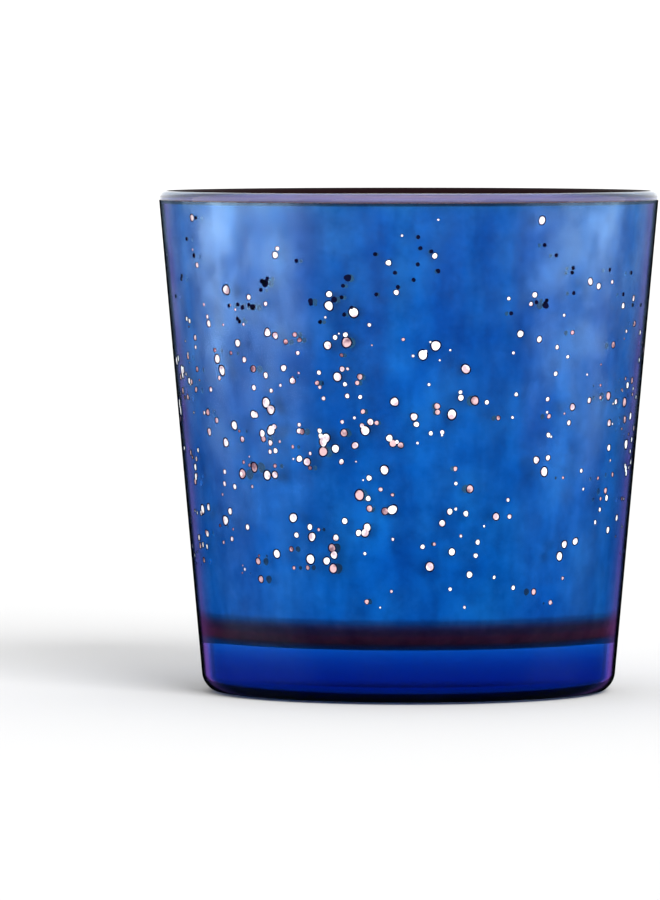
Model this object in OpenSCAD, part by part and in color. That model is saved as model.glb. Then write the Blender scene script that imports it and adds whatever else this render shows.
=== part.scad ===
// A votive candle cup. A pressed glass body with a thick base carries a
// translucent blue lacquer outside, and inside a silvered coat with a
// copper-toned backing over it. Small round droplet marks break the coats.
// Millimetres, +Z up, origin at the middle of the standing ring.

/* [Cup] */
// Height from the standing ring to the top of the lip
height = 70; // [50:0.5:120]
// Diameter at the rim, over the lacquer
rim_d = 70; // [50:0.5:110]
// Diameter where the outside wall line would meet the table, over the lacquer
foot_d = 57.4; // [40:0.1:100]

/* [Glass] */
// Wall thickness at the rim, also the width of the rounded lip
rim_wall = 1.9; // [1.2:0.1:4]
// Wall thickness at the inside floor
floor_wall = 2.8; // [1.5:0.1:6]
// Height of the inside floor above the table
floor_z = 7.5; // [4:0.1:16]
// Radius of the inside corner between wall and floor
corner_r = 5; // [1:0.1:8]
// Radius of the foot edge
foot_r = 2.8; // [1:0.1:7]
// Width of the flat standing ring
ring_w = 3; // [1:0.1:8]
// Depth of the hollow under the base
hollow_h = 0.8; // [0.2:0.1:2.5]

/* [Coats] */
// Thickness of the blue lacquer outside
lacquer_t = 0.12; // [0.05:0.01:0.4]
// Thickness of the silvered coat inside
mirror_t = 0.1; // [0.05:0.01:0.4]
// Thickness of the copper-toned backing over the silvered coat
backing_t = 0.1; // [0.05:0.01:0.4]
// Height of lip left bare above the coats
bare_lip = 1.3; // [0.6:0.1:5]
// Height at which the lacquer stops on the foot edge
lacquer_stop = 0.35; // [0.1:0.05:1.5]

/* [Droplet marks] */
// Number of droplet marks laid on the wall
drops = 480; // [0:1:600]
// Number of droplets that fall together as one splash
splash = 3; // [1:1:8]
// Spread of one splash across the wall
splash_w = 7; // [0:0.5:20]
// Diameter of the smallest droplet mark
drop_small = 0.5; // [0.3:0.05:1]
// Diameter of the largest droplet mark
drop_large = 1.6; // [0.6:0.05:4]
// Lowest droplet centre above the inside floor
drops_from = 6; // [6:0.5:30]
// Highest droplet centre below the lip
drops_to = 3.5; // [3:0.5:30]
// Depth below the lip in which more marks go through every coat
shaded_h = 18; // [4:1:40]
// Share of the marks that break the inside coats too in that depth
share_high = 0.6; // [0:0.05:1]
// Share of the marks that break the inside coats too below it
share_low = 0.35; // [0:0.05:1]
// Which droplet pattern is laid
pattern = 33; // [1:1:399]
// Way the pattern is turned about the cup, in degrees
pattern_turn = 146; // [-180:1:180]

/* [Hidden] */
$fn = 96;
steps = 10;

// The glass outside line, under the lacquer
out_lean = atan((rim_d - foot_d) / 2 / height);
skin_w = lacquer_t / cos(out_lean);
out_top = rim_d / 2 - skin_w;
out_foot = foot_d / 2 - skin_w;

// The glass inside line
lip_r = rim_wall / 2;
in_top = out_top - rim_wall;
in_floor = wall_out(floor_z) - floor_wall;
in_lean = atan((in_top - in_floor) / (height - floor_z));

// The heights where the coats stop
coat_top = height - bare_lip;

// The middle of the inside corner arc and of the foot edge arc
corner_z = floor_z + corner_r;
corner_x = wall_in(corner_z) - corner_r / cos(in_lean);
foot_x = wall_out(foot_r) - foot_r / cos(out_lean);
ring_out = foot_x;
ring_in = foot_x - ring_w;

function wall_out(z) = out_foot + (out_top - out_foot) * z / height;
function wall_in(z) = in_floor + (in_top - in_floor) * (z - floor_z) / (height - floor_z);

// Points on an arc from one angle to another
function arc(x, z, r, from, to) =
    [for (i = [0 : steps]) let (a = from + (to - from) * i / steps) [x + r * cos(a), z + r * sin(a)]];

// The inside line of the glass moved d towards the middle, from axis to top
function inside_line(d, top) = concat(
    [[0, floor_z + d]],
    arc(corner_x, corner_z, corner_r - d, -90, -in_lean),
    [[wall_in(top) - d / cos(in_lean), top]]
);

// The outside line of the glass moved d outward, from the foot edge to top
function outside_line(d, low, top) =
    let (from = -acos((foot_x_at(d, low) - foot_x) / (foot_r + d)))
    concat(
        arc(foot_x, foot_r, foot_r + d, from, -out_lean),
        [[wall_out(top) + d / cos(out_lean), top]]
    );

// How far out the foot edge, grown by d, stands at a height
function foot_x_at(d, z) = foot_x + sqrt(pow(foot_r + d, 2) - pow(foot_r - z, 2));

function turned(line) = [for (i = [len(line) - 1 : -1 : 0]) line[i]];

// A repeatable scatter between 0 and 1
function part_of(x) = x - floor(x);
function toss(i, k) = part_of(sin(i * 127.1 + (k + pattern * 7) * 311.7) * 4375.85);

// One droplet mark: angle, height, diameter, and whether it breaks the inside
// coats too; every mark breaks the lacquer
function drop(i) =
    let (
        g = floor(i / splash),
        mid = 0.65 * toss(g, 2) + 0.35 * toss(g, 7),
        low = floor_z + drops_from,
        high = height - drops_to,
        off = i % splash == 0 ? 0 : 1,
        z = max(low, min(high, low + (high - low) * mid + off * splash_w * (toss(i, 6) - 0.5))),
        a = 360 * toss(g, 1) + off * (toss(i, 5) - 0.5) * splash_w / wall_in(z) * 180 / PI,
        d = drop_small + (drop_large - drop_small) * pow(toss(i, 3), 1.3)
    )
    [a + pattern_turn, z, d, toss(i, 8) < (z > height - shaded_h ? share_high : share_low)];

// A pin through the wall at one droplet mark, from one radius to another
module drop_pin(mark, from, to) {
    rotate([0, 0, mark[0]])
        translate([from, 0, mark[1]])
            rotate([0, 90, 0])
                cylinder(d = mark[2], h = to - from, $fn = 24);
}

// A coat on the inside line, between two depths, with its droplet marks
module inside_coat(near, far) {
    difference() {
        rotate_extrude()
            polygon(concat(inside_line(near, coat_top), turned(inside_line(far, coat_top))));
        for (i = [0 : 1 : drops - 1])
            let (mark = drop(i))
                if (mark[3])
                    drop_pin(mark, wall_in(mark[1]) - 1, wall_in(mark[1]) + 1);
    }
}

// The pressed glass body, with its rounded lip, thick base and hollow foot
module glass_body() {
    color([0.82, 0.88, 0.92, 0.6])
        rotate_extrude()
            polygon(concat(
                inside_line(0, height - lip_r),
                arc(out_top - lip_r, height - lip_r, lip_r, 180, 0),
                turned(outside_line(0, 0, height - lip_r)),
                [[ring_in, 0], [ring_in - hollow_h, hollow_h], [0, hollow_h]]
            ));
}

// The translucent blue coat on the outside wall and the foot edge
module blue_lacquer() {
    color([0.05, 0.32, 0.72])
        difference() {
            rotate_extrude()
                polygon(concat(
                    outside_line(0, lacquer_stop, coat_top),
                    turned(outside_line(lacquer_t, lacquer_stop, coat_top))
                ));
            for (i = [0 : 1 : drops - 1])
                let (mark = drop(i))
                    drop_pin(mark, wall_out(mark[1]) - 1, wall_out(mark[1]) + 1);
        }
}

// The silvered coat on the inside wall and floor
module mirror_coat() {
    color([0.80, 0.82, 0.85])
        inside_coat(0, mirror_t);
}

// The copper-toned backing that covers the silvered coat
module copper_backing() {
    color([0.72, 0.42, 0.32])
        inside_coat(mirror_t, mirror_t + backing_t);
}

glass_body();
blue_lacquer();
mirror_coat();
copper_backing();
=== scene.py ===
"""A votive candle cup of pressed glass, lacquered blue outside and silvered inside.

The cup is four pieces that lie face to face: the clear glass body, a
translucent blue lacquer on its outside, a silvered coat on its inside, and a
copper-toned backing over the silver. Small droplet marks break the coats.
"""

import logging
import math
from dataclasses import dataclass, field
from enum import Enum
from typing import Callable, Sequence

import bmesh
import bpy
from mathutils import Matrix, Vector, noise
from mathutils.geometry import delaunay_2d_cdt


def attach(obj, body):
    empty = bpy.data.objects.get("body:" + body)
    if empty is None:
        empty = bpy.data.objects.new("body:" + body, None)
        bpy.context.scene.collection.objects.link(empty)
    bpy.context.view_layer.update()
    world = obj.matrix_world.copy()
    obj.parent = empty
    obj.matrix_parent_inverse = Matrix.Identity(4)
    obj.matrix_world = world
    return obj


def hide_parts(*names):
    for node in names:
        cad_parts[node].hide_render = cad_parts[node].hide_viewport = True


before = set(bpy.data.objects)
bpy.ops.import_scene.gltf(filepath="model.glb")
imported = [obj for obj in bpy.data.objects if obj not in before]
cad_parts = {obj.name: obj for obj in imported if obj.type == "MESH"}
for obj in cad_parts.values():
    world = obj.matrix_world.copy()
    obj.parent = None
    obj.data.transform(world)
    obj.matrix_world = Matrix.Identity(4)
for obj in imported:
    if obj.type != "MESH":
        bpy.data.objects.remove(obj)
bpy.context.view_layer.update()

log = logging.getLogger("votive_cup")

MM = 0.001

# two points closer than this, in millimetres, are at one place
TOUCHING = 1e-6

# a face whose doubled area is under this, in square metres, is no face
NO_AREA = 1e-16

# most of a noise pattern's values lie between these
NOISE_SPAN = (0.3, 0.7)


def linear(hex_colour: str, alpha: float = 1.0) -> tuple[float, float, float, float]:
    """Turn an sRGB hex colour into linear light.

    Args:
        hex_colour: six hex digits, with or without a leading hash.
        alpha: the fourth value.

    Returns:
        Red, green, blue and alpha, each from 0 to 1.
    """
    digits = hex_colour.lstrip("#")
    parts = [int(digits[i : i + 2], 16) / 255 for i in (0, 2, 4)]
    light = [p / 12.92 if p <= 0.04045 else ((p + 0.055) / 1.055) ** 2.4 for p in parts]
    return (light[0], light[1], light[2], alpha)


class Lit(Enum):
    """Which of the cup's pieces a light panel falls on."""

    FILM = ("blue_lacquer",)
    SILVER = ("glass_body", "mirror_coat")
    COPPER = ("copper_backing",)


class Reach(Enum):
    """Which part of a finish a light panel shows in."""

    ALL = "all"
    SHEEN = "sheen"
    MATT = "matt"


class Spot(Enum):
    """What lies at a place on a coat, numbered as the coat's finishes are."""

    FILM = 0
    EDGE = 1
    PALE = 2
    ROSE = 3
    DARK = 4


@dataclass(frozen=True)
class CupSizes:
    """The cup's sizes in millimetres, as the part's source states them."""

    height: float = 70.0
    rim_d: float = 70.0
    foot_d: float = 57.4
    rim_wall: float = 1.9
    floor_wall: float = 2.8
    floor_z: float = 7.5
    corner_r: float = 5.0
    foot_r: float = 2.8
    ring_w: float = 3.0
    hollow_h: float = 0.8
    lacquer_t: float = 0.12
    mirror_t: float = 0.1
    backing_t: float = 0.1
    bare_lip: float = 1.3
    lacquer_stop: float = 0.35

    @property
    def out_lean(self) -> float:
        """The outside wall's lean from upright, in radians."""
        return math.atan((self.rim_d - self.foot_d) / 2 / self.height)

    @property
    def out_top(self) -> float:
        """The glass's outside radius at the top."""
        return self.rim_d / 2 - self.lacquer_t / math.cos(self.out_lean)

    @property
    def out_foot(self) -> float:
        """The glass's outside radius where its wall line meets the table."""
        return self.foot_d / 2 - self.lacquer_t / math.cos(self.out_lean)

    @property
    def coat_top(self) -> float:
        """The height at which the coats stop."""
        return self.height - self.bare_lip

    @property
    def in_top(self) -> float:
        """The inside radius at the top."""
        return self.out_top - self.rim_wall

    @property
    def in_floor(self) -> float:
        """The inside radius at the inside floor."""
        return self.wall_out(self.floor_z) - self.floor_wall

    @property
    def in_lean(self) -> float:
        """The inside wall's lean from upright, in radians."""
        return math.atan((self.in_top - self.in_floor) / (self.height - self.floor_z))

    @property
    def corner(self) -> tuple[float, float]:
        """The middle of the inside corner's arc."""
        z = self.floor_z + self.corner_r
        return self.wall_in(z) - self.corner_r / math.cos(self.in_lean), z

    @property
    def foot(self) -> tuple[float, float]:
        """The middle of the foot edge's arc."""
        return self.wall_out(self.foot_r) - self.foot_r / math.cos(self.out_lean), self.foot_r

    @property
    def lip(self) -> tuple[tuple[float, float], float]:
        """The lip's arc, which runs on from both walls.

        Returns:
            The arc's middle, as radius and height, and its radius.
        """
        z = self.height - self.rim_wall / 2
        thick = self.wall_out(z) - self.wall_in(z)
        r = thick / (1 / math.cos(self.out_lean) + 1 / math.cos(self.in_lean))
        return (self.wall_out(self.height - r) - r / math.cos(self.out_lean), self.height - r), r

    def wall_out(self, z: float) -> float:
        """The glass's outside radius at a height."""
        return self.out_foot + (self.out_top - self.out_foot) * z / self.height

    def wall_in(self, z: float) -> float:
        """The glass's inside radius at a height."""
        share = (z - self.floor_z) / (self.height - self.floor_z)
        return self.in_floor + (self.in_top - self.in_floor) * share


@dataclass(frozen=True)
class Mark:
    """One droplet mark through the lacquer, and perhaps through every coat, in degrees and millimetres."""

    turn: float
    z: float
    size: float
    through: bool
    spot: Spot


@dataclass(frozen=True)
class DropletRule:
    """The rule that scatters the droplet marks, as the part's source has it, and finer ones after."""

    drops: int = 480
    splash: int = 3
    splash_w: float = 7.0
    small: float = 0.5
    large: float = 1.6
    clear_low: float = 6.0
    clear_high: float = 3.5
    shaded_h: float = 18.0
    share_high: float = 0.6
    share_low: float = 0.35
    pattern: int = 33
    pattern_turn: float = 146.0
    spread_share: float = 0.65
    small_bias: float = 1.3
    shade_spot_shrink: float = 0.65
    shade_spot_least: float = 0.55
    fine_drops: int = 480
    fine_small: float = 0.3
    fine_large: float = 1.1
    fine_bias: float = 1.5

    def toss(self, i: int, k: int) -> float:
        """A repeatable scatter between 0 and 1."""
        turned = math.sin(math.radians(i * 127.1 + (k + self.pattern * 7) * 311.7)) * 4375.85
        return turned - math.floor(turned)

    def place(self, i: int, group: int, sizes: CupSizes) -> tuple[float, float]:
        """Place one droplet within its splash.

        Args:
            i: the droplet's number.
            group: the splash's number.
            sizes: the cup's sizes.

        Returns:
            The droplet's turn in degrees and its height.
        """
        low = sizes.floor_z + self.clear_low
        high = sizes.height - self.clear_high
        # two tosses together crowd the marks towards mid-height, and the finer ones take one alone
        share = self.spread_share if i < self.drops else 1.0
        mid = share * self.toss(group, 2) + (1 - share) * self.toss(group, 7)
        off = 0.0 if i % self.splash == 0 else 1.0
        z = low + (high - low) * mid + off * self.splash_w * (self.toss(i, 6) - 0.5)
        z = max(low, min(high, z))
        spread = off * (self.toss(i, 5) - 0.5) * self.splash_w / sizes.wall_in(z)
        return 360 * self.toss(group, 1) + math.degrees(spread) + self.pattern_turn, z

    def marks(self, sizes: CupSizes) -> list[Mark]:
        """Lay all the marks.

        Args:
            sizes: the cup's sizes.

        Returns:
            The marks of the part's source, then the finer ones that the source leaves out.
        """
        found: list[Mark] = []
        for i in range(self.drops + self.fine_drops):
            turn, z = self.place(i, i // self.splash, sizes)
            if i < self.drops:
                small, large, bias = self.small, self.large, self.small_bias
            else:
                small, large, bias = self.fine_small, self.fine_large, self.fine_bias
            size = small + (large - small) * self.toss(i, 3) ** bias
            high_up = z > sizes.height - self.shaded_h
            through = self.toss(i, 8) < (self.share_high if high_up else self.share_low)
            if high_up and through:
                # a mark through every coat up here is painted dark, painted shade for the shaded inside,
                # and looks larger than a pale one of its size
                size = max(size * self.shade_spot_shrink, self.shade_spot_least)
            # each mark is filled with a painted view of what shows through it: a painted reflection of the
            # silver where only the lacquer is broken, the lit copper inside lower down, and painted shade
            # up in the shaded top
            spot = (Spot.DARK if high_up else Spot.ROSE) if through else Spot.PALE
            found.append(Mark(turn, z, size, through, spot))
        return found


# ---------------------------------------------------------------- finishes


def add_node(tree: bpy.types.NodeTree, kind: str, at: dict | None = None, **links) -> bpy.types.Node:
    """Add a node with its settings and links.

    Args:
        tree: the node tree.
        kind: the node's type name.
        at: plain settings, either an attribute's name or an input's name or number.
        links: an input's name, with underscores for spaces, and the output that feeds it.

    Returns:
        The new node.
    """
    node = tree.nodes.new(kind)
    for name, value in (at or {}).items():
        if isinstance(name, str) and hasattr(node, name):
            setattr(node, name, value)
        else:
            node.inputs[name].default_value = value
    for name, source in links.items():
        key = int(name[1:]) if name[1:].isdigit() and name[0] == "i" else name.replace("_", " ")
        tree.links.new(source, node.inputs[key])
    return node


def ramp_stops(node: bpy.types.Node, stops: Sequence[tuple[float, tuple]]) -> bpy.types.Node:
    """Set a colour ramp's stops.

    Args:
        node: the colour ramp node.
        stops: places from 0 to 1, each with a linear colour.

    Returns:
        The same node.
    """
    elements = node.color_ramp.elements
    while len(elements) < len(stops):
        elements.new(0.5)
    for element, (place, colour) in zip(elements, stops, strict=True):
        element.position = place
        element.color = colour
    return node


def fresh_material(name: str) -> tuple[bpy.types.Material, bpy.types.NodeTree, bpy.types.Node]:
    """Make an empty node material.

    Args:
        name: the material's name.

    Returns:
        The material, its tree and its output node.
    """
    material = bpy.data.materials.new(name)
    material.use_nodes = True
    tree = material.node_tree
    tree.nodes.clear()
    return material, tree, tree.nodes.new("ShaderNodeOutputMaterial")


@dataclass(frozen=True)
class PressedGlass:
    """Clear soda-lime glass, pressed in a mould and fire polished.

    The polish leaves it bright, and the mould leaves slow ripples about 15 mm
    across that bend what is seen through the thick base.
    """

    clear: str = "F2F8FA"
    ior: float = 1.52
    roughness: float = 0.012
    ripple_mm: float = 15.0
    ripple_depth_mm: float = 0.012
    # a band painted on the lip's inner half: painted shade, dark from the candle's side along its top,
    # and navy to pale violet where it is seen through the glass
    lip_band_colours: tuple[tuple[float, str], ...] = (
        (68.7, "0C1C60"),
        (68.92, "10246C"),
        (69.0, "6474C0"),
        (69.1, "B0B0FC"),
        (69.3, "B8A4D4"),
        (69.7, "A08CA0"),
    )
    lip_shade_colour: str = "140609"
    lip_shade_mm: tuple[float, float] = (68.95, 69.2)
    lip_band_width_mm: float = 0.3
    lip_band_fade_mm: float = 0.05
    lip_band_most: float = 0.8
    lip_band_roughness: float = 0.6
    lip_band_gloss: float = 0.05

    def build(self) -> bpy.types.Material:
        """Make the glass material.

        Returns:
            The glass, with the trace of the coats on its lip.
        """
        material, tree, out = fresh_material("pressed_soda_lime_glass")
        place = add_node(tree, "ShaderNodeTexCoord")
        ripple = add_node(
            tree,
            "ShaderNodeTexNoise",
            {"Scale": 1 / (self.ripple_mm * MM), "Detail": 1.5, "Roughness": 0.4},
            Vector=place.outputs["Object"],
        )
        bump = add_node(
            tree,
            "ShaderNodeBump",
            {"Distance": self.ripple_depth_mm * MM},
            Height=ripple.outputs["Fac"],
        )
        body = add_node(
            tree,
            "ShaderNodeBsdfPrincipled",
            {
                "Base Color": linear(self.clear),
                "Roughness": self.roughness,
                "IOR": self.ior,
                "Transmission Weight": 1.0,
            },
            Normal=bump.outputs["Normal"],
        )
        height = add_node(tree, "ShaderNodeSeparateXYZ", Vector=place.outputs["Object"])
        low, high = self.lip_band_colours[0][0], self.lip_band_colours[-1][0]
        level = add_node(
            tree,
            "ShaderNodeMapRange",
            {"From Min": low * MM, "From Max": high * MM},
            Value=height.outputs["Z"],
        )
        tone = ramp_stops(
            add_node(tree, "ShaderNodeValToRGB", Fac=level.outputs[0]),
            [((z - low) / (high - low), linear(colour)) for z, colour in self.lip_band_colours],
        )
        behind = tree.nodes.new("ShaderNodeNewGeometry").outputs["Backfacing"]
        colour = add_node(
            tree,
            "ShaderNodeMix",
            {"data_type": "RGBA", 6: linear(self.lip_shade_colour)},
            i0=behind,
            i7=tone.outputs["Color"],
        )
        lip_band = add_node(
            tree,
            "ShaderNodeBsdfPrincipled",
            {"Roughness": self.lip_band_roughness, "Specular IOR Level": self.lip_band_gloss},
            Base_Color=colour.outputs[2],
        )
        # where the painted lip band lies: inside the lip's middle, and above a height that differs by side
        level_plane = add_node(
            tree,
            "ShaderNodeVectorMath",
            {"operation": "MULTIPLY", 1: (1.0, 1.0, 0.0)},
            i0=place.outputs["Object"],
        )
        out_from_axis = add_node(
            tree,
            "ShaderNodeVectorMath",
            {"operation": "LENGTH"},
            i0=level_plane.outputs[0],
        )
        (middle, _), _ = CupSizes().lip
        inner = add_node(
            tree,
            "ShaderNodeMapRange",
            {
                "From Min": (middle + self.lip_band_width_mm / 2) * MM,
                "From Max": (middle - self.lip_band_width_mm / 2) * MM,
            },
            Value=out_from_axis.outputs["Value"],
        )
        # the line of painted shade along the lip's top, seen from the candle's side
        dark_low, dark_high = self.lip_shade_mm
        dark = add_node(
            tree,
            "ShaderNodeMapRange",
            {"From Min": dark_low * MM, "From Max": dark_high * MM},
            Value=height.outputs["Z"],
        )
        pale = add_node(
            tree,
            "ShaderNodeMapRange",
            {
                "From Min": (low - self.lip_band_fade_mm) * MM,
                "From Max": low * MM,
                "To Max": self.lip_band_most,
            },
            Value=height.outputs["Z"],
        )
        by_side = add_node(
            tree,
            "ShaderNodeMix",
            {"data_type": "FLOAT"},
            i0=behind,
            i2=dark.outputs[0],
            i3=pale.outputs[0],
        )
        share = add_node(
            tree,
            "ShaderNodeMath",
            {"operation": "MULTIPLY"},
            i0=inner.outputs[0],
            i1=by_side.outputs[0],
        )
        surface = add_node(
            tree,
            "ShaderNodeMixShader",
            i0=share.outputs[0],
            i1=body.outputs[0],
            i2=lip_band.outputs[0],
        )
        tree.links.new(surface.outputs[0], out.inputs["Surface"])
        return material


@dataclass(frozen=True)
class BlueLacquer:
    """Clear blue lacquer, sprayed on the outside and baked.

    It tints what lies behind it like dyed glass and adds its own wet gloss.
    The spray leaves faint runs down the wall, which show as soft streaks.
    """

    pale: str = "86D1F2"
    deep: str = "6CC2EA"
    # the dark of the painted shade along the film's outline, also used in the band below the lip
    edge: str = "0A0F2C"
    sheen: str = "BFE2FF"
    # under a lacquer's usual 1.5, matched to how softly this film shines
    ior: float = 1.25
    roughness: float = 0.3
    sheen_from_mm: float = 14.0
    sheen_to_mm: float = 64.0
    sheen_least: float = 0.1
    sheen_facing: tuple[float, float] = (0.5, 0.9)
    streak_mm: float = 5.0
    streak_stretch: float = 0.12
    cloud_mm: float = 7.0
    tint_stops: tuple[float, float] = (0.36, 0.62)
    patch_from: tuple[float, float] = (0.38, 0.62)
    patch_wet: tuple[float, float] = (0.6, 1.4)
    # the violet of the painted sheen towards the film's outline
    violet: str = "DCBCE0"
    violet_facing: tuple[float, float] = (0.6, 0.76)
    violet_most: float = 0.8
    edge_facing: tuple[float, float] = (0.8, 0.9)
    top_band_mm: float = 0.5
    top_band_most: float = 0.6
    # the film is painted darker towards the foot and wine-dark where it crosses the inside corner:
    # painted shade towards the table, and in the corner where the inside floor meets the wall
    low_shade_ramp: tuple[tuple[float, str], ...] = (
        (0.5, "101C48"),
        (2.6, "3F93D4"),
        (4.2, "509DD6"),
        (5.6, "59A8DC"),
        (7.7, "69BEE7"),
        (8.5, "D29CB8"),
        (9.3, "D29CB8"),
        (10.2, "B8A8C8"),
    )
    low_shade_top_mm: float = 11.2

    def build(self) -> bpy.types.Material:
        """Make the lacquer material.

        Returns:
            The tinted film with its gloss.
        """
        material, tree, out = fresh_material("baked_blue_lacquer")
        place = add_node(tree, "ShaderNodeTexCoord")
        runs_place = add_node(
            tree,
            "ShaderNodeMapping",
            {"Scale": (1.0, 1.0, self.streak_stretch)},
            Vector=place.outputs["Object"],
        )
        runs = add_node(
            tree,
            "ShaderNodeTexNoise",
            {"Scale": 1 / (self.streak_mm * MM), "Detail": 3.0, "Roughness": 0.55},
            Vector=runs_place.outputs["Vector"],
        )
        clouds = add_node(
            tree,
            "ShaderNodeTexNoise",
            {"Scale": 1 / (self.cloud_mm * MM), "Detail": 3.0, "Roughness": 0.6},
            Vector=place.outputs["Object"],
        )
        both = add_node(
            tree,
            "ShaderNodeMix",
            {"data_type": "FLOAT", "Factor": 0.5},
            A=clouds.outputs["Fac"],
            B=runs.outputs["Fac"],
        )
        tint = ramp_stops(
            add_node(tree, "ShaderNodeValToRGB", Fac=both.outputs[0]),
            [(self.tint_stops[0], linear(self.deep)), (self.tint_stops[1], linear(self.pale))],
        )
        height = add_node(tree, "ShaderNodeSeparateXYZ", Vector=place.outputs["Object"])
        top = self.low_shade_top_mm
        level = add_node(
            tree,
            "ShaderNodeMapRange",
            {"From Max": top * MM},
            Value=height.outputs["Z"],
        )
        low_shade_ramp = ramp_stops(
            add_node(tree, "ShaderNodeValToRGB", Fac=level.outputs[0]),
            [(z / top, linear(colour)) for z, colour in self.low_shade_ramp],
        )
        above = add_node(
            tree,
            "ShaderNodeMapRange",
            {"From Min": self.low_shade_ramp[-1][0] * MM, "From Max": top * MM},
            Value=height.outputs["Z"],
        )
        depth = add_node(
            tree,
            "ShaderNodeMix",
            {"data_type": "RGBA"},
            i0=above.outputs[0],
            i6=low_shade_ramp.outputs["Color"],
            i7=tint.outputs["Color"],
        )
        # towards its outline the film is painted violet, a painted sheen, and end on it is painted dark,
        # painted shade along the outline
        facing = add_node(tree, "ShaderNodeLayerWeight", {"Blend": 0.5})
        edge_sheen_share = add_node(
            tree,
            "ShaderNodeMapRange",
            {
                "From Min": self.violet_facing[0],
                "From Max": self.violet_facing[1],
                "To Max": self.violet_most,
            },
            Value=facing.outputs["Facing"],
        )
        turned = add_node(
            tree,
            "ShaderNodeMix",
            {"data_type": "RGBA", 7: linear(self.violet)},
            i0=edge_sheen_share.outputs[0],
            i6=depth.outputs[2],
        )
        outline_shade = add_node(
            tree,
            "ShaderNodeMapRange",
            {"From Min": self.edge_facing[0], "From Max": self.edge_facing[1]},
            Value=facing.outputs["Facing"],
        )
        # the film is painted darker in a thin band where it stops below the lip
        film_top = CupSizes().coat_top
        top_band = add_node(
            tree,
            "ShaderNodeMapRange",
            {
                "From Min": (film_top - self.top_band_mm) * MM,
                "From Max": (film_top - self.top_band_mm / 2) * MM,
                "To Max": self.top_band_most,
            },
            Value=height.outputs["Z"],
        )
        dark = add_node(
            tree,
            "ShaderNodeMath",
            {"operation": "MAXIMUM"},
            i0=outline_shade.outputs[0],
            i1=top_band.outputs[0],
        )
        seen = add_node(
            tree,
            "ShaderNodeMix",
            {"data_type": "RGBA", 7: linear(self.edge)},
            i0=dark.outputs[0],
            i6=turned.outputs[2],
        )
        through = add_node(tree, "ShaderNodeBsdfTransparent", Color=seen.outputs[2])
        gloss = add_node(
            tree,
            "ShaderNodeBsdfGlossy",
            {"Color": linear(self.sheen), "Roughness": self.roughness},
        )
        fresnel = add_node(tree, "ShaderNodeFresnel", {"IOR": self.ior})
        # the film bends nothing, so only the face that light meets first may mirror it
        met_first = add_node(
            tree,
            "ShaderNodeMath",
            {"operation": "SUBTRACT", 0: 1.0},
            i1=tree.nodes.new("ShaderNodeNewGeometry").outputs["Backfacing"],
        )
        # the gloss is weighted up with height, a painted fade of the sheen towards the foot
        wet = add_node(
            tree,
            "ShaderNodeMapRange",
            {"From Min": self.sheen_from_mm * MM, "From Max": self.sheen_to_mm * MM},
            Value=height.outputs["Z"],
        )
        sheen_by_height = add_node(
            tree,
            "ShaderNodeMath",
            {"operation": "MULTIPLY_ADD", 2: self.sheen_least},
            i0=wet.outputs[0],
            i1=wet.outputs[0],
        )
        edge_fade = add_node(
            tree,
            "ShaderNodeMapRange",
            {
                "From Min": self.sheen_facing[0],
                "From Max": self.sheen_facing[1],
                "To Min": 1.0,
                "To Max": 0.0,
            },
            Value=facing.outputs["Facing"],
        )
        # the spray lies glossier in some patches than in others
        patches = add_node(
            tree,
            "ShaderNodeMapRange",
            {
                "From Min": self.patch_from[0],
                "From Max": self.patch_from[1],
                "To Min": self.patch_wet[0],
                "To Max": self.patch_wet[1],
            },
            Value=clouds.outputs["Fac"],
        )
        share = fresnel
        for factor in (met_first, sheen_by_height, edge_fade, patches):
            share = add_node(
                tree,
                "ShaderNodeMath",
                {"operation": "MULTIPLY"},
                i0=share.outputs[0],
                i1=factor.outputs[0],
            )
        surface = add_node(
            tree,
            "ShaderNodeMixShader",
            i0=share.outputs[0],
            i1=through.outputs[0],
            i2=gloss.outputs[0],
        )
        tree.links.new(surface.outputs[0], out.inputs["Surface"])
        return material


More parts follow.
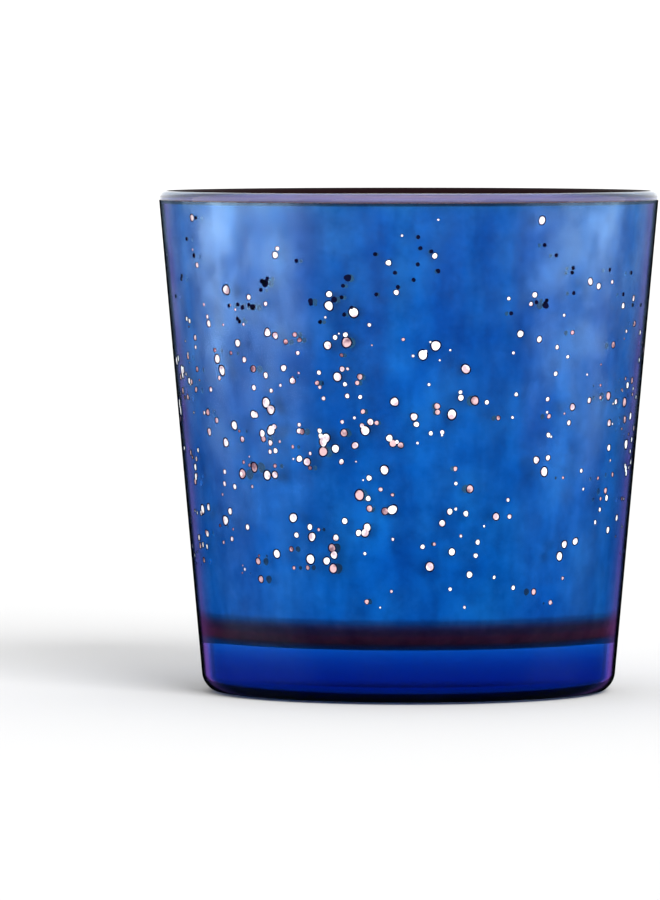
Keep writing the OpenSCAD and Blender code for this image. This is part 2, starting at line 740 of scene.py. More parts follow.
@dataclass(frozen=True)
class SilveredCoat:
    """Silver laid from a bath on the inside of the glass.

    It is a soft mirror: bright, a little clouded, and mottled where the
    droplets ran.
    """

    bright: str = "F6F8FB"
    dull: str = "C6CDD9"
    roughness: float = 0.45
    roughness_dull: float = 0.08
    roughness_bright: float = 0.06
    mottle_mm: float = 2.4
    mottle_depth_mm: float = 0.006
    streak_mm: float = 3.2
    streak_stretch: float = 0.15
    tone_stops: tuple[float, float] = (0.34, 0.62)

    def build(self) -> bpy.types.Material:
        """Make the silver material.

        Returns:
            The clouded silver.
        """
        material, tree, out = fresh_material("bath_laid_silver")
        place = add_node(tree, "ShaderNodeTexCoord")
        mottle = add_node(
            tree,
            "ShaderNodeTexNoise",
            {"Scale": 1 / (self.mottle_mm * MM), "Detail": 4.0, "Roughness": 0.65},
            Vector=place.outputs["Object"],
        )
        streak_place = add_node(
            tree,
            "ShaderNodeMapping",
            {"Scale": (1.0, 1.0, self.streak_stretch)},
            Vector=place.outputs["Object"],
        )
        streaks = add_node(
            tree,
            "ShaderNodeTexNoise",
            {"Scale": 1 / (self.streak_mm * MM), "Detail": 2.0, "Roughness": 0.5},
            Vector=streak_place.outputs["Vector"],
        )
        both = add_node(
            tree,
            "ShaderNodeMix",
            {"data_type": "FLOAT", "Factor": 0.5},
            A=mottle.outputs["Fac"],
            B=streaks.outputs["Fac"],
        )
        tone = ramp_stops(
            add_node(tree, "ShaderNodeValToRGB", Fac=both.outputs[0]),
            [(self.tone_stops[0], linear(self.dull)), (self.tone_stops[1], linear(self.bright))],
        )
        rough = add_node(
            tree,
            "ShaderNodeMapRange",
            {
                "From Min": NOISE_SPAN[0],
                "From Max": NOISE_SPAN[1],
                "To Min": self.roughness + self.roughness_dull,
                "To Max": self.roughness - self.roughness_bright,
            },
            Value=both.outputs[0],
        )
        bump = add_node(
            tree,
            "ShaderNodeBump",
            {"Distance": self.mottle_depth_mm * MM},
            Height=mottle.outputs["Fac"],
        )
        body = add_node(
            tree,
            "ShaderNodeBsdfPrincipled",
            {"Metallic": 1.0},
            Base_Color=tone.outputs["Color"],
            Roughness=rough.outputs[0],
            Normal=bump.outputs["Normal"],
        )
        tree.links.new(body.outputs[0], out.inputs["Surface"])
        return material


@dataclass(frozen=True)
class CopperBacking:
    """Copper-toned metallic paint, sprayed over the silver to protect it.

    Its fine flake gives a satin glow, darker where it lies thick.
    """

    light: str = "E6C2C0"
    deep: str = "C4989A"
    roughness: float = 0.42
    roughness_low: float = 0.08
    roughness_high: float = 0.1
    metallic: float = 0.8
    cloud_mm: float = 6.0
    tone_stops: tuple[float, float] = (0.3, 0.68)
    # real flake is finer, and is drawn as coarse as it needs to show
    flake_mm: float = 0.5
    flake_depth_mm: float = 0.01

    def build(self) -> bpy.types.Material:
        """Make the backing material.

        Returns:
            The satin copper paint.
        """
        material, tree, out = fresh_material("copper_flake_paint")
        place = add_node(tree, "ShaderNodeTexCoord")
        clouds = add_node(
            tree,
            "ShaderNodeTexNoise",
            {"Scale": 1 / (self.cloud_mm * MM), "Detail": 4.0, "Roughness": 0.6},
            Vector=place.outputs["Object"],
        )
        tone = ramp_stops(
            add_node(tree, "ShaderNodeValToRGB", Fac=clouds.outputs["Fac"]),
            [(self.tone_stops[0], linear(self.deep)), (self.tone_stops[1], linear(self.light))],
        )
        flake = add_node(
            tree,
            "ShaderNodeTexNoise",
            {"Scale": 1 / (self.flake_mm * MM), "Detail": 2.0},
            Vector=place.outputs["Object"],
        )
        rough = add_node(
            tree,
            "ShaderNodeMapRange",
            {
                "From Min": NOISE_SPAN[0],
                "From Max": NOISE_SPAN[1],
                "To Min": self.roughness - self.roughness_low,
                "To Max": self.roughness + self.roughness_high,
            },
            Value=flake.outputs["Fac"],
        )
        bump = add_node(
            tree,
            "ShaderNodeBump",
            {"Strength": 0.6, "Distance": self.flake_depth_mm * MM},
            Height=flake.outputs["Fac"],
        )
        body = add_node(
            tree,
            "ShaderNodeBsdfPrincipled",
            {"Metallic": self.metallic},
            Base_Color=tone.outputs["Color"],
            Roughness=rough.outputs[0],
            Normal=bump.outputs["Normal"],
        )
        tree.links.new(body.outputs[0], out.inputs["Surface"])
        return material


@dataclass(frozen=True)
class PaintedMarkFill:
    """A matt, a little cloudy fill at the bottom of a droplet mark, painted with what shows through it: a
    painted reflection, the lit copper inside or painted shade.
    """

    name: str
    light: str
    deep: str
    roughness: float = 0.35
    cloud_mm: float = 1.4
    tone_stops: tuple[float, float] = (0.36, 0.52)

    def build(self) -> bpy.types.Material:
        """Make the mark's painted fill.

        Returns:
            The painted fill.
        """
        material, tree, out = fresh_material(self.name)
        place = add_node(tree, "ShaderNodeTexCoord")
        cloud = add_node(
            tree,
            "ShaderNodeTexNoise",
            {"Scale": 1 / (self.cloud_mm * MM), "Detail": 2.0},
            Vector=place.outputs["Object"],
        )
        tone = ramp_stops(
            add_node(tree, "ShaderNodeValToRGB", Fac=cloud.outputs["Fac"]),
            [(self.tone_stops[0], linear(self.deep)), (self.tone_stops[1], linear(self.light))],
        )
        body = add_node(
            tree,
            "ShaderNodeBsdfPrincipled",
            {"Roughness": self.roughness, "Specular IOR Level": 0.0},
            Base_Color=tone.outputs["Color"],
        )
        tree.links.new(body.outputs[0], out.inputs["Surface"])
        return material


# ---------------------------------------------------------------- meshes


@dataclass(frozen=True)
class Station:
    """One point of a turned profile, in millimetres, with its outward direction."""

    r: float
    z: float
    nr: float
    nz: float


def arc_stations(
    centre: tuple[float, float], radius: float, start: float, end: float, steps: int, flip: float = 1.0
) -> list[Station]:
    """Stations along an arc.

    Args:
        centre: the arc's middle, as radius and height.
        radius: the arc's radius.
        start: the first angle in radians.
        end: the last angle in radians.
        steps: how many spans.
        flip: -1 where the surface faces the arc's middle.

    Returns:
        The stations in order.
    """
    found = []
    for i in range(steps + 1):
        a = start + (end - start) * i / steps
        c, s = math.cos(a), math.sin(a)
        found.append(Station(centre[0] + radius * c, centre[1] + radius * s, flip * c, flip * s))
    return found


def line_stations(a: Station, b: Station, spans: int) -> list[Station]:
    """Stations between two others on a straight line, without its ends.

    Args:
        a: the station the line starts from.
        b: the station it runs to.
        spans: how many even spans the line has.

    Returns:
        The stations in order, which face the way the ends do.
    """
    nr, nz = b.z - a.z, a.r - b.r
    length = math.hypot(nr, nz)
    nr, nz = nr / length, nz / length
    if nr * (a.nr + b.nr) + nz * (a.nz + b.nz) < 0:
        nr, nz = -nr, -nz
    return [
        Station(a.r + (b.r - a.r) * i / spans, a.z + (b.z - a.z) * i / spans, nr, nz)
        for i in range(1, spans)
    ]


def turned_mesh(name: str, stations: Sequence[Station], columns: int) -> bpy.types.Object:
    """Turn a closed profile about the axis, from its foot on the axis to its end there.

    Args:
        name: the piece's name.
        stations: the profile, whose first and last stations lie on the axis. Two
            stations at one place make a crease there.
        columns: how many spans round the turn.

    Returns:
        The new object.
    """
    verts: list[Vector] = []
    rows: list[dict[int, Vector]] = []
    placed: Station | None = None
    for s in stations:
        count = 1 if s.r < TOUCHING else columns
        turns = [math.tau * j / columns for j in range(count)]
        creased = placed is not None and math.hypot(s.r - placed.r, s.z - placed.z) < TOUCHING
        if not creased:
            verts += [Vector((s.r * math.cos(a), s.r * math.sin(a), s.z)) * MM for a in turns]
        first = len(verts) - count
        ways = [Vector((s.nr * math.cos(a), s.nr * math.sin(a), s.nz)) for a in turns]
        rows.append({first + j: way for j, way in enumerate(ways)})
        placed = s
    faces: list[tuple[int, ...]] = []
    normals: list[list[Vector]] = []
    for low_row, high_row in zip(rows, rows[1:], strict=False):
        low, high = list(low_row), list(high_row)
        if low == high:
            continue
        way_at = low_row | high_row
        for j in range(columns):
            k = (j + 1) % columns
            if len(low) == 1:
                face = (low[0], high[j], high[k])
            elif len(high) == 1:
                face = (low[k], low[j], high[0])
            else:
                face = (low[j], high[j], high[k], low[k])
            faces.append(face)
            normals.append([way_at[v] for v in face])
    return smooth_object(name, verts, faces, normals)


def smooth_object(
    name: str,
    verts: Sequence[Vector],
    faces: Sequence[Sequence[int]],
    face_normals: Sequence[Sequence[Vector]],
    finishes: Sequence[int] = (),
) -> bpy.types.Object:
    """Make an object whose corners carry the surface's true normals.

    Args:
        name: the piece's name.
        verts: the points, in metres.
        faces: each face's points.
        face_normals: for each face, a normal at each corner.
        finishes: for each face, which of the piece's finishes it takes.

    Returns:
        The new object.
    """
    mesh = bpy.data.meshes.new(name)
    mesh.from_pydata([tuple(v) for v in verts], [], [tuple(f) for f in faces])
    if finishes:
        mesh.polygons.foreach_set("material_index", finishes)
    mesh.validate(clean_customdata=False)
    mesh.shade_smooth()
    corners = [tuple(n.normalized()) for around in face_normals for n in around]
    mesh.normals_split_custom_set(corners)
    piece = bpy.data.objects.new(name, mesh)
    bpy.context.scene.collection.objects.link(piece)
    return piece


Point = tuple[float, float]
# a ring round the cup, as a rule from a coat's depth to radius and height
Ring = Callable[[float], Point]


@dataclass
class SpeckledCoat:
    """A thin coat of revolution on the cup, with droplet marks cut through it or bedded in it."""

    name: str
    rows_z: Sequence[float]
    # from a height and a depth to the wall's radius and height
    edge: Callable[[float, float], Point]
    below: Sequence[Ring]
    # how deep the coat's two faces lie from the glass
    near: float
    far: float
    marks: Sequence[Mark]
    # a filled mark is a shallow bed in the coat, and any other is a hole through it
    filled: bool = False
    columns: int = 240
    corners: int = 18
    least_corners: int = 10
    corner_share: float = 0.55
    radius: float = 30.0
    bed: float = 0.05
    # the share of a mark's radius that its ring of painted shade takes
    edge_share: float = 0.25
    # how far a mark is from round, and how much it sags down the wall
    two_lobes: float = 0.16
    three_lobes: float = 0.14
    sag: float = 1.06
    cell: float = 2.0
    clear_of_mark: float = 1.12
    cut_near: float = 1e-5
    seam_near: float = 1e-4
    row_near: float = 1e-3
    weld_steps: float = 2e3

    def outline(self, mark: Mark, seed: int) -> list[Point]:
        """The edge of one droplet mark on the unrolled wall, in millimetres.

        Args:
            mark: the droplet mark.
            seed: a number that gives each mark its own shape.

        Returns:
            Points round the mark, as distance along and height.
        """
        count = max(self.least_corners, int(self.corners * min(1.0, self.corner_share + mark.size / 2)))
        # odd steps through the noise, so that no two marks share a shape
        wave = [noise.noise(Vector((seed * 3.7, k * 5.1, 0.3))) for k in range(4)]
        points = []
        for i in range(count):
            a = math.tau * i / count
            r = mark.size / 2 * (
                1
                + self.two_lobes * wave[0] * math.cos(2 * a + 6 * wave[1])
                + self.three_lobes * wave[2] * math.cos(3 * a + 6 * wave[3])
            )
            x = math.radians(mark.turn % 360) * self.radius
            points.append((x + r * math.cos(a), mark.z + r * self.sag * math.sin(a)))
        return points

    def loops(self) -> list[tuple[list[Point], Spot]]:
        """The edges of all marks on the unrolled wall, inner edges first.

        Returns:
            Each edge's points and what it bounds.
        """
        round_trip = math.tau * self.radius
        inner, outer = [], []
        for seed, mark in enumerate(self.marks):
            loop = self.outline(mark, seed)
            cx = sum(x for x, _ in loop) / len(loop)
            cz = sum(z for _, z in loop) / len(loop)
            keep = 1 - self.edge_share
            small = [(cx + (x - cx) * keep, cz + (z - cz) * keep) for x, z in loop]
            for shift in (-round_trip, 0.0, round_trip):
                moved = [(x + shift, z) for x, z in loop]
                if max(x for x, _ in moved) > 0 and min(x for x, _ in moved) < round_trip:
                    outer.append((moved, Spot.EDGE))
                    if self.filled:
                        inner.append(([(x + shift, z) for x, z in small], mark.spot))
        return inner + outer

    def wall_sheet(self) -> tuple[list[Point], list[tuple[tuple[int, int, int], Spot]]]:
        """Cut the unrolled wall into triangles round its droplet marks.

        Returns:
            The points as distance along and height, and the triangles kept with what lies there.
        """
        round_trip = math.tau * self.radius
        low, high = self.rows_z[0], self.rows_z[-1]
        between = list(self.rows_z[1:-1])
        loops = self.loops()
        # each mark is filed under the square cells it reaches, so that few are tried at each point
        cell = self.cell
        cells: dict[tuple[int, int], list] = {}
        for loop, spot in loops:
            xs, zs = [x for x, _ in loop], [z for _, z in loop]
            middle = ((min(xs) + max(xs)) / 2, (min(zs) + max(zs)) / 2)
            reach = max(math.hypot(x - middle[0], z - middle[1]) for x, z in loop) * self.clear_of_mark
            for i in range(int((middle[0] - reach) // cell), int((middle[0] + reach) // cell) + 1):
                for j in range(int((middle[1] - reach) // cell), int((middle[1] + reach) // cell) + 1):
                    cells.setdefault((i, j), []).append((loop, spot, middle, reach))

        def near_mark(x: float, z: float) -> bool:
            """Whether a point lies within reach of a mark's edge."""
            here = cells.get((int(x // cell), int(z // cell)), ())
            return any(math.hypot(x - m[0], z - m[1]) < reach for _, _, m, reach in here)

        def spot_at(x: float, z: float) -> Spot:
            """Find what lies at a point.

            Args:
                x: the distance along the unrolled wall.
                z: the height.

            Returns:
                The spot of the first mark round the point, or the film.
            """
            for loop, spot, _, _ in cells.get((int(x // cell), int(z // cell)), ()):
                crossings = False
                for (ax, az), (bx, bz) in zip(loop, loop[1:] + loop[:1], strict=True):
                    if (az > z) != (bz > z) and x < (bx - ax) * (z - az) / (bz - az) + ax:
                        crossings = not crossings
                if crossings:
                    return spot
            return Spot.FILM

        step = round_trip / self.columns
        across = [j * step for j in range(self.columns + 1)]
        border = [(x, low) for x in across] + [(round_trip, z) for z in between]
        border += [(x, high) for x in reversed(across)] + [(0.0, z) for z in reversed(between)]
        points = list(border)
        edges = [(i, (i + 1) % len(border)) for i in range(len(border))]
        points += [(x, z) for z in between for x in across[1:-1] if not near_mark(x, z)]
        for loop, _ in loops:
            first = len(points)
            points += loop
            edges += [(first + i, first + (i + 1) % len(loop)) for i in range(len(loop))]
        made, _, tris, *_ = delaunay_2d_cdt([Vector(p) for p in points], edges, [], 0, self.cut_near)
        kept = []
        for tri in tris:
            x = sum(made[v].x for v in tri) / 3
            z = sum(made[v].y for v in tri) / 3
            if 0 < x < round_trip and low < z < high:
                spot = spot_at(x, z)
                if self.filled or spot is Spot.FILM:
                    kept.append((tuple(tri), spot))
        return [(v.x, v.y) for v in made], kept

    def build(self) -> bpy.types.Object:
        """Build the coat as a closed thin solid.

        Returns:
            The new object.
        """
        sheet, tris = self.wall_sheet()
        round_trip = math.tau * self.radius
        keys: dict[tuple[int, int], int] = {}
        spots: list[Point] = []
        index: list[int] = []
        for x, z in sheet:
            turn = (x % round_trip) if abs(x - round_trip) > self.seam_near else 0.0
            key = (round(turn * self.weld_steps), round(z * self.weld_steps))
            if key not in keys:
                keys[key] = len(spots)
                spots.append((turn / self.radius, z))
            index.append(keys[key])
        faces, spots_of = [], []
        for tri, spot in tris:
            face = tuple(index[v] for v in tri)
            if len(set(face)) == 3:
                faces.append(face)
                spots_of.append(spot)
        bedded = {
            v
            for face, spot in zip(faces, spots_of, strict=True)
            if spot not in (Spot.FILM, Spot.EDGE)
            for v in face
        }
        # the corner and floor rings below the wall, which carry no marks
        places: list[tuple[float, Ring | None, float]] = [(t, None, z) for t, z in spots]
        step = math.tau / self.columns
        foot_row = {
            round(turn / step) % self.columns: i
            for i, (turn, z) in enumerate(spots)
            if abs(z - self.rows_z[0]) < self.row_near
        }
        above = [foot_row[j] for j in range(self.columns)]
        for ring in self.below:
            on_axis = ring(0.0)[0] < TOUCHING
            row = [len(places)] if on_axis else [len(places) + j for j in range(self.columns)]
            places += [(j * step, ring, 0.0) for j in range(1 if on_axis else self.columns)]
            for j in range(self.columns):
                k = (j + 1) % self.columns
                if on_axis:
                    faces.append((row[0], above[k], above[j]))
                else:
                    faces += [(row[j], row[k], above[k]), (row[j], above[k], above[j])]
            above = row
        spots_of += [Spot.FILM] * (len(faces) - len(spots_of))
        return self.thicken(places, faces, spots_of, bedded)

    def thicken(
        self,
        places: Sequence[tuple[float, Ring | None, float]],
        faces: Sequence[tuple[int, ...]],
        spots: Sequence[Spot],
        bedded: set[int],
    ) -> bpy.types.Object:
        """Give the sheet its two faces and its edges.

        Args:
            places: each point's turn, its ring below the wall or None, and its height.
            faces: the sheet's triangles.
            spots: what lies at each triangle.
            bedded: the points that lie at the bottom of a mark.

        Returns:
            The new object.
        """

        def at(place: tuple[float, Ring | None, float], depth: float) -> Vector:
            """Set a point at a depth in the coat.

            Args:
                place: the point's turn, its ring below the wall or None, and its height.
                depth: how far it lies from the glass.

            Returns:
                The point in metres.
            """
            turn, ring, z = place
            r, h = self.edge(z, depth) if ring is None else ring(depth)
            return Vector((r * math.cos(turn), r * math.sin(turn), h)) * MM

        count = len(places)
        verts = [at(p, self.bed if i in bedded else self.far) for i, p in enumerate(places)]
        verts += [at(p, self.near) for p in places]
        outward = []
        for near, far in zip(verts[count:], verts[:count], strict=True):
            outward.append((far - near).normalized() if (far - near).length > 0 else Vector((0, 0, 1)))
        whole: list[tuple[int, ...]] = []
        normals: list[list[Vector]] = []
        finishes: list[int] = []
        # the edges met once so far, in order, which end as the sheet's open edges
        single: dict[tuple[int, int], bool] = {}
        for face, spot in zip(faces, spots, strict=True):
            a, b, c = (verts[v] for v in face)
            facing_out = (b - a).cross(c - a).dot(outward[face[0]]) > 0
            f = face if facing_out else tuple(reversed(face))
            whole.append(f)
            normals.append([outward[v] for v in f])
            g = tuple(v + count for v in reversed(f))
            whole.append(g)
            normals.append([-outward[v - count] for v in g])
            finishes += [spot.value] * 2
            for p, q in zip(f, f[1:] + f[:1], strict=True):
                if (q, p) in single:
                    del single[q, p]
                else:
                    single[p, q] = True
        for p, q in single:
            quad = (q, p, p + count, q + count)
            flat = (verts[quad[1]] - verts[quad[0]]).cross(verts[quad[2]] - verts[quad[0]])
            if flat.length < NO_AREA:
                continue
            whole.append(quad)
            normals.append([flat.normalized()] * 4)
            finishes.append(Spot.FILM.value)
        used = sorted({v for f in whole for v in f})
        renumber = {v: i for i, v in enumerate(used)}
        return smooth_object(
            self.name,
            [verts[v] for v in used],
            [tuple(renumber[v] for v in f) for f in whole],
            normals,
            finishes,
        )


@dataclass
class VotiveCup:
    """The whole cup: glass body, lacquer, silvered coat and copper backing."""

    sizes: CupSizes = field(default_factory=CupSizes)
    rule: DropletRule = field(default_factory=DropletRule)
    columns: int = 288
    wall_rows: int = 40
    arc_spans: int = 16
    lip_spans: int = 24
    cove_spans: int = 8
    coat_arc_spans: int = 12
    floor_rings: int = 10
    # the lacquer stands this far off the glass and the silver sinks this far into it,
    # so that no two faces lie in one place
    seat_gap: float = 0.012

    def inside_ring(self, angle: float) -> Ring:
        """A ring on the inside corner's arc, as a rule from depth to radius and height."""
        (cx, cz), r = self.sizes.corner, self.sizes.corner_r
        return lambda depth: (cx + (r - depth) * math.cos(angle), cz + (r - depth) * math.sin(angle))

    def floor_ring(self, share: float) -> Ring:
        """A ring on the inside floor, as a rule from depth to radius and height."""
        r = self.sizes.corner[0] * share
        return lambda depth: (r, self.sizes.floor_z + depth)

    def foot_ring(self, angle: float) -> Ring:
        """A ring on the foot edge's arc, as a rule from depth to radius and height."""
        (cx, cz), r = self.sizes.foot, self.sizes.foot_r
        return lambda depth: (cx + (r + depth) * math.cos(angle), cz + (r + depth) * math.sin(angle))

    def glass_body(self) -> bpy.types.Object:
        """Build the pressed glass body.

        Returns:
            The glass piece.
        """
        s = self.sizes
        lip, lip_r = s.lip
        line: list[Station] = [Station(0.0, s.floor_z, 0.0, 1.0)]
        corner = arc_stations(s.corner, s.corner_r, -math.pi / 2, -s.in_lean, self.arc_spans, -1.0)
        lip_arc = arc_stations(lip, lip_r, math.pi - s.in_lean, -s.out_lean, self.lip_spans)
        foot = arc_stations(s.foot, s.foot_r, -s.out_lean, -math.pi / 2, self.arc_spans)
        line += line_stations(line[0], corner[0], 12) + corner
        line += line_stations(corner[-1], lip_arc[0], self.wall_rows) + lip_arc
        line += line_stations(lip_arc[-1], foot[0], self.wall_rows) + foot
        ring_in = Station(foot[-1].r - s.ring_w, 0.0, 0.0, -1.0)
        line += line_stations(foot[-1], ring_in, 3) + [ring_in]
        # the hollow under the base rises on a short soft cove
        cove_at = (ring_in.r - s.hollow_h, 0.0)
        cove = arc_stations(cove_at, s.hollow_h, 0.0, math.pi / 2, self.cove_spans, -1.0)
        line += cove
        end = Station(0.0, s.hollow_h, 0.0, -1.0)
        line += line_stations(cove[-1], end, 10) + [end]
        return turned_mesh("pressed_glass_cup", line, self.columns)

    def wall_heights(self, low: float, high: float, rows: int) -> list[float]:
        """Even heights up the wall, with both ends."""
        return [low + (high - low) * i / rows for i in range(rows + 1)]

    def lacquer(self, marks: Sequence[Mark]) -> bpy.types.Object:
        """Build the blue lacquer.

        Args:
            marks: the droplet marks that break it.

        Returns:
            The lacquer piece.
        """
        s = self.sizes
        lean = s.out_lean
        low = s.foot[1] - s.foot_r * math.sin(lean)
        stop = math.asin((s.lacquer_stop - s.foot[1]) / (s.foot_r + s.lacquer_t / 2))
        spans = self.coat_arc_spans
        angles = [-lean + (stop + lean) * i / spans for i in range(1, spans + 1)]

        def edge(z: float, depth: float) -> Point:
            """The wall's radius and height at a height and a depth."""
            return (s.wall_out(z) + depth / math.cos(lean), z)

        coat = SpeckledCoat(
            name="blue_lacquer_film",
            rows_z=self.wall_heights(low, s.coat_top, self.wall_rows),
            edge=edge,
            below=[self.foot_ring(a) for a in angles],
            near=self.seat_gap,
            far=s.lacquer_t,
            marks=marks,
            filled=True,
            radius=(s.wall_out(s.floor_z) + s.out_top) / 2,
        )
        return coat.build()

    def inside_coat(self, name: str, near: float, far: float, marks: Sequence[Mark]) -> bpy.types.Object:
        """Build a coat on the inside of the glass.

        Args:
            name: the piece's name.
            near: the depth of the face towards the glass.
            far: the depth of the face towards the candle.
            marks: the droplet marks that break it.

        Returns:
            The coat piece.
        """
        s = self.sizes
        lean = s.in_lean
        low = s.corner[1] - s.corner_r * math.sin(lean)
        spans, rings = self.coat_arc_spans, self.floor_rings
        angles = [-lean + (-math.pi / 2 + lean) * i / spans for i in range(1, spans + 1)]
        below = [self.inside_ring(a) for a in angles]
        below += [self.floor_ring(1 - i / rings) for i in range(1, rings + 1)]

        def edge(z: float, depth: float) -> Point:
            """The wall's radius and height at a height and a depth."""
            return (s.wall_in(z) - depth / math.cos(lean), z)

        coat = SpeckledCoat(
            name=name,
            rows_z=self.wall_heights(low, s.coat_top, self.wall_rows),
            edge=edge,
            below=below,
            near=near,
            far=far,
            marks=marks,
            radius=(s.wall_in(s.corner[1]) + s.in_top) / 2,
        )
        return coat.build()

    def build(self) -> dict[str, bpy.types.Object]:
        """Build every piece of the cup.

        Returns:
            The pieces by the node each one stands for.
        """
        marks = self.rule.marks(self.sizes)
        inner = [m for m in marks if m.through]
        silver_t = self.sizes.mirror_t
        both_t = silver_t + self.sizes.backing_t
        return {
            "glass_body": self.glass_body(),
            "blue_lacquer": self.lacquer(marks),
            "mirror_coat": self.inside_coat("silvered_film", -self.seat_gap, silver_t, inner),
            "copper_backing": self.inside_coat("copper_backing_film", silver_t, both_t, inner),
        }

    def dress(self, pieces: dict[str, bpy.types.Object]) -> None:
        """Give every piece its finish and body.

        Args:
            pieces: the pieces by the node each one stands for.
        """
        # the marks are filled with painted shade round each rim, a painted reflection of the silver, a
        # painted view of the lit copper inside, and painted shade
        marks = [
            PaintedMarkFill("painted_shade_mark_rim", "0E1638", "080C22"),
            PaintedMarkFill("painted_silver_reflection_spot", "F0F5F8", "B8A0AA"),
            PaintedMarkFill("painted_lit_copper_spot", "C4A2A6", "745662"),
            PaintedMarkFill("painted_shade_spot", "090D26", "04060F"),
        ]
        finishes = {
            "glass_body": ([PressedGlass()], "clear_glass"),
            "blue_lacquer": ([BlueLacquer(), *marks], "blue_lacquer"),
            "mirror_coat": ([SilveredCoat()], "silvered_coat"),
            "copper_backing": ([CopperBacking()], "copper_backing"),
        }
        for node, piece in pieces.items():
            made, slot = finishes[node]
            for finish in made:
                piece.data.materials.append(finish.build())
            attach(piece, "root")
            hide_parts(node)
            log.info("%s: %d faces for %s", piece.name, len(piece.data.polygons), node)


# ---------------------------------------------------------------- studio


@dataclass(frozen=True)
class Panel:
    """A soft light panel, in metres, that falls on one kind of piece."""

    name: str
    lit: Lit
    place: tuple[float, float, float]
    aim: tuple[float, float, float]
    width: float
    height: float
    glow: float
    reach: Reach = Reach.ALL

    @property
    def power(self) -> float:
        """The lamp's power for its glow."""
        return math.pi * self.width * self.height * self.glow


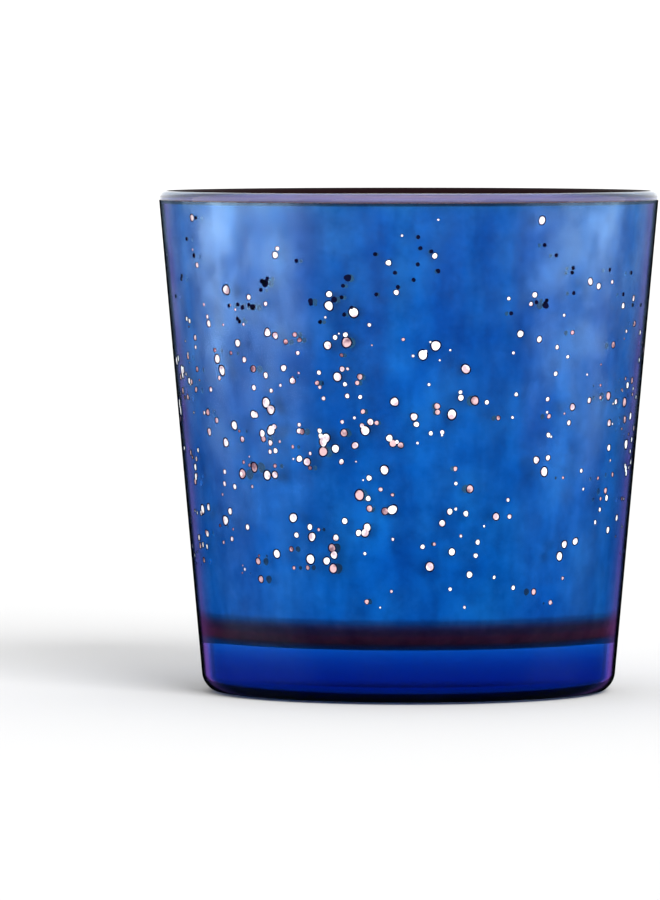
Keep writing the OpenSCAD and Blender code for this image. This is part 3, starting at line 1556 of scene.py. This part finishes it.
@dataclass(frozen=True)
class Studio:
    """A pale table that sweeps up behind the cup, soft light panels and a long lens."""

    floor_colour: str = "D6D6D6"
    camera_away: float = 1.15
    camera_high: float = 0.0851
    aim_x: float = -0.011
    aim_z: float = 0.0337
    frame_wide: float = 0.0924
    world: float = 1.0
    sun_power: float = 3.2
    sun_soft: float = 36.0
    sun_from: tuple[float, float, float] = (0.42, -0.8, 0.5)
    panels: tuple[Panel, ...] = (
        Panel("sheen_left", Lit.FILM, (-0.214, -0.049, 0.15), (0, 0, 0.15), 0.244, 0.3, 16.0, Reach.SHEEN),
        Panel("sheen_right", Lit.FILM, (0.2167, -0.0382, 0.15), (0, 0, 0.15), 0.2, 0.3, 10.5, Reach.SHEEN),
        Panel("sheen_front", Lit.FILM, (0, -0.25, 0.012), (0, 0, 0.012), 0.5, 0.016, 9.0, Reach.SHEEN),
        Panel("front", Lit.SILVER, (0, -0.5, 0.15), (0, 0, 0.1), 0.7, 0.3, 0.9),
        Panel("left", Lit.SILVER, (-0.45, -0.05, 0.15), (0, 0, 0.1), 0.6, 0.3, 1.0),
        Panel("right", Lit.SILVER, (0.45, -0.05, 0.15), (0, 0, 0.1), 0.6, 0.3, 0.9),
        Panel("low_in_cup", Lit.COPPER, (0, 0, 0.022), (0, 0, 0.07), 0.02, 0.02, 6.0),
        Panel("fill", Lit.FILM, (-0.3, -0.5, 0.3), (0, 0, 0.04), 0.5, 0.5, 1.2, Reach.MATT),
    )

    def floor(self) -> None:
        """Build the table and its sweep."""
        bm = bmesh.new()
        wide, front, back, bend, high, spans = 6.0, -4.0, 2.2, 1.2, 4.0, 16
        line = [(front, 0.0), (back, 0.0)]
        for i in range(1, spans + 1):
            a = math.pi / 2 * i / spans
            line.append((back + bend * math.sin(a), bend * (1 - math.cos(a))))
        line.append((back + bend, high))
        rows = [[bm.verts.new((x, y, z)) for x in (-wide, wide)] for y, z in line]
        for a, b in zip(rows, rows[1:], strict=False):
            bm.faces.new((a[0], a[1], b[1], b[0])).smooth = True
        mesh = bpy.data.meshes.new("table_sweep")
        bm.to_mesh(mesh)
        bm.free()
        table = bpy.data.objects.new("table_sweep", mesh)
        bpy.context.scene.collection.objects.link(table)
        material, tree, out = fresh_material("matt_white_card")
        body = add_node(
            tree,
            "ShaderNodeBsdfPrincipled",
            {"Base Color": linear(self.floor_colour), "Roughness": 0.9, "Specular IOR Level": 0.1},
        )
        tree.links.new(body.outputs[0], out.inputs["Surface"])
        mesh.materials.append(material)

    def lights(self, pieces: dict[str, bpy.types.Object]) -> None:
        """Set up the panels, which light the cup alone, the key and the room's even light.

        Args:
            pieces: the cup's pieces by the node each one stands for.
        """
        groups = {lit: bpy.data.collections.new(f"lit_{lit.name.lower()}") for lit in Lit}
        for lit, group in groups.items():
            for node in lit.value:
                group.objects.link(pieces[node])
        for panel in self.panels:
            lamp = bpy.data.lights.new(panel.name, "AREA")
            lamp.shape = "RECTANGLE"
            lamp.size, lamp.size_y = panel.width, panel.height
            lamp.energy = panel.power
            light = bpy.data.objects.new(panel.name, lamp)
            light.location = panel.place
            way = Vector(panel.aim) - Vector(panel.place)
            light.rotation_euler = way.to_track_quat("-Z", "Y").to_euler()
            light.visible_camera = False
            light.visible_diffuse = panel.reach is not Reach.SHEEN
            light.visible_glossy = panel.reach is not Reach.MATT
            light.light_linking.receiver_collection = groups[panel.lit]
            bpy.context.scene.collection.objects.link(light)
        sun = bpy.data.lights.new("key", "SUN")
        sun.energy = self.sun_power
        sun.angle = math.radians(self.sun_soft)
        key = bpy.data.objects.new("key", sun)
        key.rotation_euler = (-Vector(self.sun_from)).to_track_quat("-Z", "Y").to_euler()
        # the key would leave a hot patch in the silver, behind the glass
        key.visible_glossy = key.visible_transmission = False
        bpy.context.scene.collection.objects.link(key)
        world = bpy.data.worlds.new("even_room")
        world.use_nodes = True
        world.node_tree.nodes["Background"].inputs["Color"].default_value = (1.0, 1.0, 1.0, 1.0)
        world.node_tree.nodes["Background"].inputs["Strength"].default_value = self.world
        bpy.context.scene.world = world

    def camera(self) -> None:
        """Set up the long-lens camera, a little above the rim."""
        lens = bpy.data.cameras.new("long_lens")
        place = Vector((0.0, -self.camera_away, self.camera_high))
        way = Vector((self.aim_x, 0.0, self.aim_z)) - place
        lens.sensor_fit = "HORIZONTAL"
        lens.sensor_width = 36.0
        lens.lens = 36.0 * way.length / self.frame_wide
        lens.clip_start, lens.clip_end = 0.05, 50.0
        camera = bpy.data.objects.new("long_lens", lens)
        camera.location = place
        camera.rotation_euler = way.to_track_quat("-Z", "Y").to_euler()
        bpy.context.scene.collection.objects.link(camera)
        bpy.context.scene.camera = camera

    def build(self, pieces: dict[str, bpy.types.Object]) -> None:
        """Build the whole studio.

        Args:
            pieces: the cup's pieces by the node each one stands for.
        """
        self.camera()
        self.floor()
        self.lights(pieces)
        bpy.context.scene.view_settings.view_transform = "Standard"


def main() -> None:
    """Build the studio and the cup."""
    logging.basicConfig(level=logging.INFO, format="%(name)s: %(message)s")
    cup = VotiveCup()
    pieces = cup.build()
    cup.dress(pieces)
    Studio().build(pieces)


if __name__ == "__main__":
    main()
